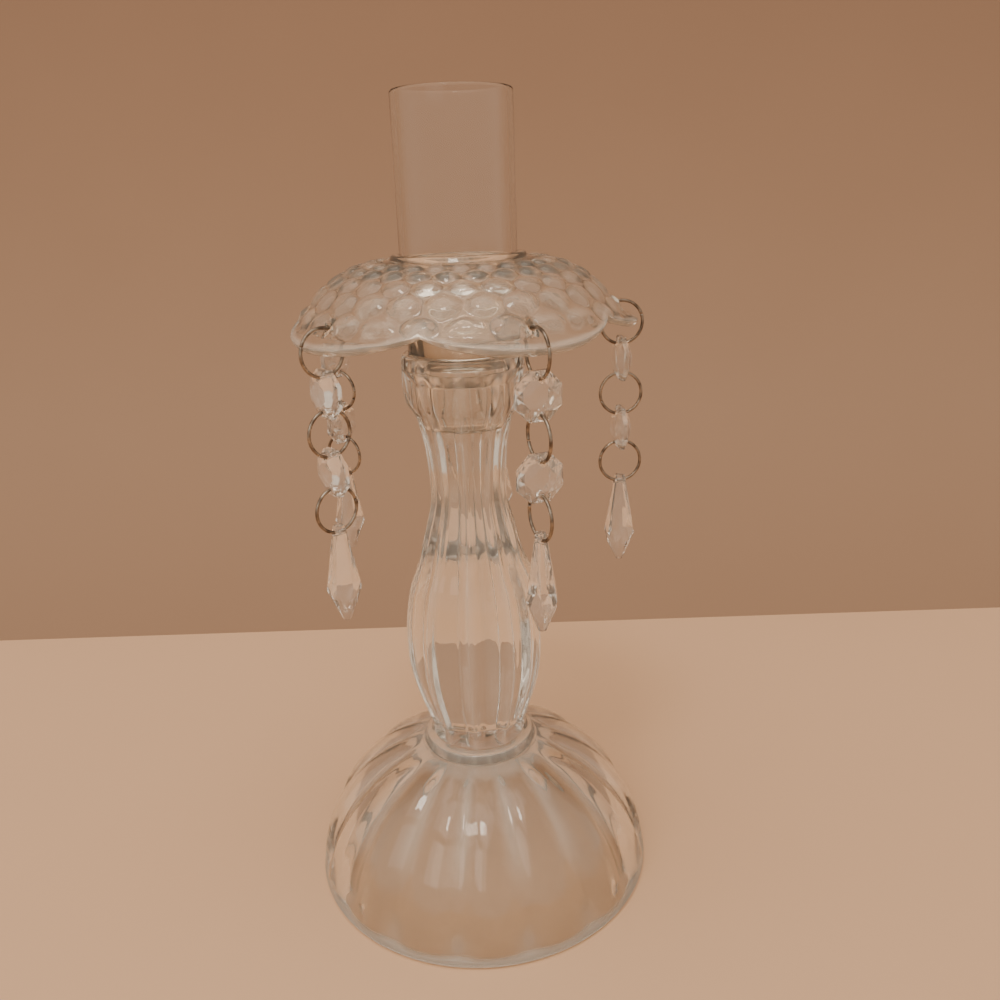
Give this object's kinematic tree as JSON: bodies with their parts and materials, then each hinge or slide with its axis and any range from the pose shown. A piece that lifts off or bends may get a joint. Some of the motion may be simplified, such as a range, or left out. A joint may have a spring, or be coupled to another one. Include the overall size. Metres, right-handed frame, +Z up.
{
  "type": "glass candlestick",
  "caption": "Pressed-glass candlestick with a hollow lobed base, ribbed baluster stem, scalloped bobeche hung with crystal drops, and a plain glass chimney.",
  "frame": {"origin": "centre of the foot's resting face, on the table", "axes": "+Z up the stem; +X to the viewer's right and +Y away from the viewer as the object is pictured"},
  "size_m": [0.1194, 0.1194, 0.2615],
  "materials": {
    "clear_glass": "clear pressed glass, fire polished, smooth",
    "thin_glass": "clear blown tube, polished rims",
    "crystal": "clear cut crystal, sharp polished facets",
    "chrome_wire": "darkened bright wire, round section"
  },
  "bodies": {
    "candlestick": {"base_dome": "clear_glass", "stem": "clear_glass"},
    "bobeche": {"bobeche": "clear_glass"},
    "chimney": {"chimney": "thin_glass"},
    "strand_a_hook_ring": {"strand_a_hook_ring": "chrome_wire"},
    "strand_a_upper_octagon": {"strand_a_upper_octagon": "crystal"},
    "strand_a_middle_ring": {"strand_a_middle_ring": "chrome_wire"},
    "strand_a_lower_octagon": {"strand_a_lower_octagon": "crystal"},
    "strand_a_lower_ring": {"strand_a_lower_ring": "chrome_wire"},
    "strand_a_drop": {"strand_a_drop": "crystal"},
    "strand_b_hook_ring": {"strand_b_hook_ring": "chrome_wire"},
    "strand_b_upper_octagon": {"strand_b_upper_octagon": "crystal"},
    "strand_b_middle_ring": {"strand_b_middle_ring": "chrome_wire"},
    "strand_b_lower_octagon": {"strand_b_lower_octagon": "crystal"},
    "strand_b_lower_ring": {"strand_b_lower_ring": "chrome_wire"},
    "strand_b_drop": {"strand_b_drop": "crystal"},
    "strand_c_hook_ring": {"strand_c_hook_ring": "chrome_wire"},
    "strand_c_upper_octagon": {"strand_c_upper_octagon": "crystal"},
    "strand_c_middle_ring": {"strand_c_middle_ring": "chrome_wire"},
    "strand_c_lower_octagon": {"strand_c_lower_octagon": "crystal"},
    "strand_c_lower_ring": {"strand_c_lower_ring": "chrome_wire"},
    "strand_c_drop": {"strand_c_drop": "crystal"},
    "strand_d_hook_ring": {"strand_d_hook_ring": "chrome_wire"},
    "strand_d_upper_octagon": {"strand_d_upper_octagon": "crystal"},
    "strand_d_middle_ring": {"strand_d_middle_ring": "chrome_wire"},
    "strand_d_lower_octagon": {"strand_d_lower_octagon": "crystal"},
    "strand_d_lower_ring": {"strand_d_lower_ring": "chrome_wire"},
    "strand_d_drop": {"strand_d_drop": "crystal"},
    "strand_e_hook_ring": {"strand_e_hook_ring": "chrome_wire"},
    "strand_e_upper_octagon": {"strand_e_upper_octagon": "crystal"},
    "strand_e_middle_ring": {"strand_e_middle_ring": "chrome_wire"},
    "strand_e_lower_octagon": {"strand_e_lower_octagon": "crystal"},
    "strand_e_lower_ring": {"strand_e_lower_ring": "chrome_wire"},
    "strand_e_drop": {"strand_e_drop": "crystal"}
  },
  "joints": [
    {"name": "bobeche_lift", "type": "slide", "parent": "candlestick", "child": "bobeche", "axis": [0, 0, 1], "range_m": [0, 0.05]},
    {"name": "chimney_lift", "type": "slide", "parent": "bobeche", "child": "chimney", "axis": [0, 0, 1], "range_m": [0, 0.06]},
    {"name": "strand_a_hook_swing", "type": "hinge", "parent": "bobeche", "child": "strand_a_hook_ring", "pos_m": [0.04867, 0.00572, 0.19911], "axis": [0.1167, -0.9932, 0], "range_deg": [0, 35]},
    {"name": "strand_a_upper_octagon_sway", "type": "hinge", "parent": "strand_a_hook_ring", "child": "strand_a_upper_octagon", "pos_m": [0.05035, 0.00592, 0.18632], "axis": [0.9932, 0.1167, 0], "range_deg": [-20, 20]},
    {"name": "strand_a_middle_ring_sway", "type": "hinge", "parent": "strand_a_upper_octagon", "child": "strand_a_middle_ring", "pos_m": [0.05035, 0.00592, 0.17702], "axis": [0.9932, 0.1167, 0], "range_deg": [-20, 20]},
    {"name": "strand_a_lower_octagon_sway", "type": "hinge", "parent": "strand_a_middle_ring", "child": "strand_a_lower_octagon", "pos_m": [0.05035, 0.00592, 0.16352], "axis": [0.9932, 0.1167, 0], "range_deg": [-20, 20]},
    {"name": "strand_a_lower_ring_sway", "type": "hinge", "parent": "strand_a_lower_octagon", "child": "strand_a_lower_ring", "pos_m": [0.05035, 0.00592, 0.15422], "axis": [0.9932, 0.1167, 0], "range_deg": [-20, 20]},
    {"name": "strand_a_drop_sway", "type": "hinge", "parent": "strand_a_lower_ring", "child": "strand_a_drop", "pos_m": [0.05035, 0.00592, 0.14072], "axis": [0.9932, 0.1167, 0], "range_deg": [-20, 20]},
    {"name": "strand_b_hook_swing", "type": "hinge", "parent": "bobeche", "child": "strand_b_hook_ring", "pos_m": [0.0096, 0.04805, 0.19911], "axis": [0.9806, -0.1959, 0], "range_deg": [0, 35]},
    {"name": "strand_b_upper_octagon_sway", "type": "hinge", "parent": "strand_b_hook_ring", "child": "strand_b_upper_octagon", "pos_m": [0.00993, 0.04972, 0.18632], "axis": [0.1959, 0.9806, 0], "range_deg": [-20, 20]},
    {"name": "strand_b_middle_ring_sway", "type": "hinge", "parent": "strand_b_upper_octagon", "child": "strand_b_middle_ring", "pos_m": [0.00993, 0.04972, 0.17702], "axis": [0.1959, 0.9806, 0], "range_deg": [-20, 20]},
    {"name": "strand_b_lower_octagon_sway", "type": "hinge", "parent": "strand_b_middle_ring", "child": "strand_b_lower_octagon", "pos_m": [0.00993, 0.04972, 0.16352], "axis": [0.1959, 0.9806, 0], "range_deg": [-20, 20]},
    {"name": "strand_b_lower_ring_sway", "type": "hinge", "parent": "strand_b_lower_octagon", "child": "strand_b_lower_ring", "pos_m": [0.00993, 0.04972, 0.15422], "axis": [0.1959, 0.9806, 0], "range_deg": [-20, 20]},
    {"name": "strand_b_drop_sway", "type": "hinge", "parent": "strand_b_lower_ring", "child": "strand_b_drop", "pos_m": [0.00993, 0.04972, 0.14072], "axis": [0.1959, 0.9806, 0], "range_deg": [-20, 20]},
    {"name": "strand_c_hook_swing", "type": "hinge", "parent": "bobeche", "child": "strand_c_hook_ring", "pos_m": [-0.04273, 0.02398, 0.19911], "axis": [0.4894, 0.8721, 0], "range_deg": [0, 35]},
    {"name": "strand_c_upper_octagon_sway", "type": "hinge", "parent": "strand_c_hook_ring", "child": "strand_c_upper_octagon", "pos_m": [-0.04421, 0.02481, 0.18632], "axis": [-0.8721, 0.4894, 0], "range_deg": [-20, 20]},
    {"name": "strand_c_middle_ring_sway", "type": "hinge", "parent": "strand_c_upper_octagon", "child": "strand_c_middle_ring", "pos_m": [-0.04421, 0.02481, 0.17702], "axis": [-0.8721, 0.4894, 0], "range_deg": [-20, 20]},
    {"name": "strand_c_lower_octagon_sway", "type": "hinge", "parent": "strand_c_middle_ring", "child": "strand_c_lower_octagon", "pos_m": [-0.04421, 0.02481, 0.16352], "axis": [-0.8721, 0.4894, 0], "range_deg": [-20, 20]},
    {"name": "strand_c_lower_ring_sway", "type": "hinge", "parent": "strand_c_lower_octagon", "child": "strand_c_lower_ring", "pos_m": [-0.04421, 0.02481, 0.15422], "axis": [-0.8721, 0.4894, 0], "range_deg": [-20, 20]},
    {"name": "strand_c_drop_sway", "type": "hinge", "parent": "strand_c_lower_ring", "child": "strand_c_drop", "pos_m": [-0.04421, 0.02481, 0.14072], "axis": [-0.8721, 0.4894, 0], "range_deg": [-20, 20]},
    {"name": "strand_d_hook_swing", "type": "hinge", "parent": "bobeche", "child": "strand_d_hook_ring", "pos_m": [-0.03601, -0.03323, 0.19911], "axis": [-0.6782, 0.7349, 0], "range_deg": [0, 35]},
    {"name": "strand_d_upper_octagon_sway", "type": "hinge", "parent": "strand_d_hook_ring", "child": "strand_d_upper_octagon", "pos_m": [-0.03726, -0.03438, 0.18632], "axis": [-0.7349, -0.6782, 0], "range_deg": [-20, 20]},
    {"name": "strand_d_middle_ring_sway", "type": "hinge", "parent": "strand_d_upper_octagon", "child": "strand_d_middle_ring", "pos_m": [-0.03726, -0.03438, 0.17702], "axis": [-0.7349, -0.6782, 0], "range_deg": [-20, 20]},
    {"name": "strand_d_lower_octagon_sway", "type": "hinge", "parent": "strand_d_middle_ring", "child": "strand_d_lower_octagon", "pos_m": [-0.03726, -0.03438, 0.16352], "axis": [-0.7349, -0.6782, 0], "range_deg": [-20, 20]},
    {"name": "strand_d_lower_ring_sway", "type": "hinge", "parent": "strand_d_lower_octagon", "child": "strand_d_lower_ring", "pos_m": [-0.03726, -0.03438, 0.15422], "axis": [-0.7349, -0.6782, 0], "range_deg": [-20, 20]},
    {"name": "strand_d_drop_sway", "type": "hinge", "parent": "strand_d_lower_ring", "child": "strand_d_drop", "pos_m": [-0.03726, -0.03438, 0.14072], "axis": [-0.7349, -0.6782, 0], "range_deg": [-20, 20]},
    {"name": "strand_e_hook_swing", "type": "hinge", "parent": "bobeche", "child": "strand_e_hook_ring", "pos_m": [0.02048, -0.04452, 0.19911], "axis": [-0.9085, -0.4179, 0], "range_deg": [0, 35]},
    {"name": "strand_e_upper_octagon_sway", "type": "hinge", "parent": "strand_e_hook_ring", "child": "strand_e_upper_octagon", "pos_m": [0.02119, -0.04606, 0.18632], "axis": [0.4179, -0.9085, 0], "range_deg": [-20, 20]},
    {"name": "strand_e_middle_ring_sway", "type": "hinge", "parent": "strand_e_upper_octagon", "child": "strand_e_middle_ring", "pos_m": [0.02119, -0.04606, 0.17702], "axis": [0.4179, -0.9085, 0], "range_deg": [-20, 20]},
    {"name": "strand_e_lower_octagon_sway", "type": "hinge", "parent": "strand_e_middle_ring", "child": "strand_e_lower_octagon", "pos_m": [0.02119, -0.04606, 0.16352], "axis": [0.4179, -0.9085, 0], "range_deg": [-20, 20]},
    {"name": "strand_e_lower_ring_sway", "type": "hinge", "parent": "strand_e_lower_octagon", "child": "strand_e_lower_ring", "pos_m": [0.02119, -0.04606, 0.15422], "axis": [0.4179, -0.9085, 0], "range_deg": [-20, 20]},
    {"name": "strand_e_drop_sway", "type": "hinge", "parent": "strand_e_lower_ring", "child": "strand_e_drop", "pos_m": [0.02119, -0.04606, 0.14072], "axis": [0.4179, -0.9085, 0], "range_deg": [-20, 20]}
  ]
}
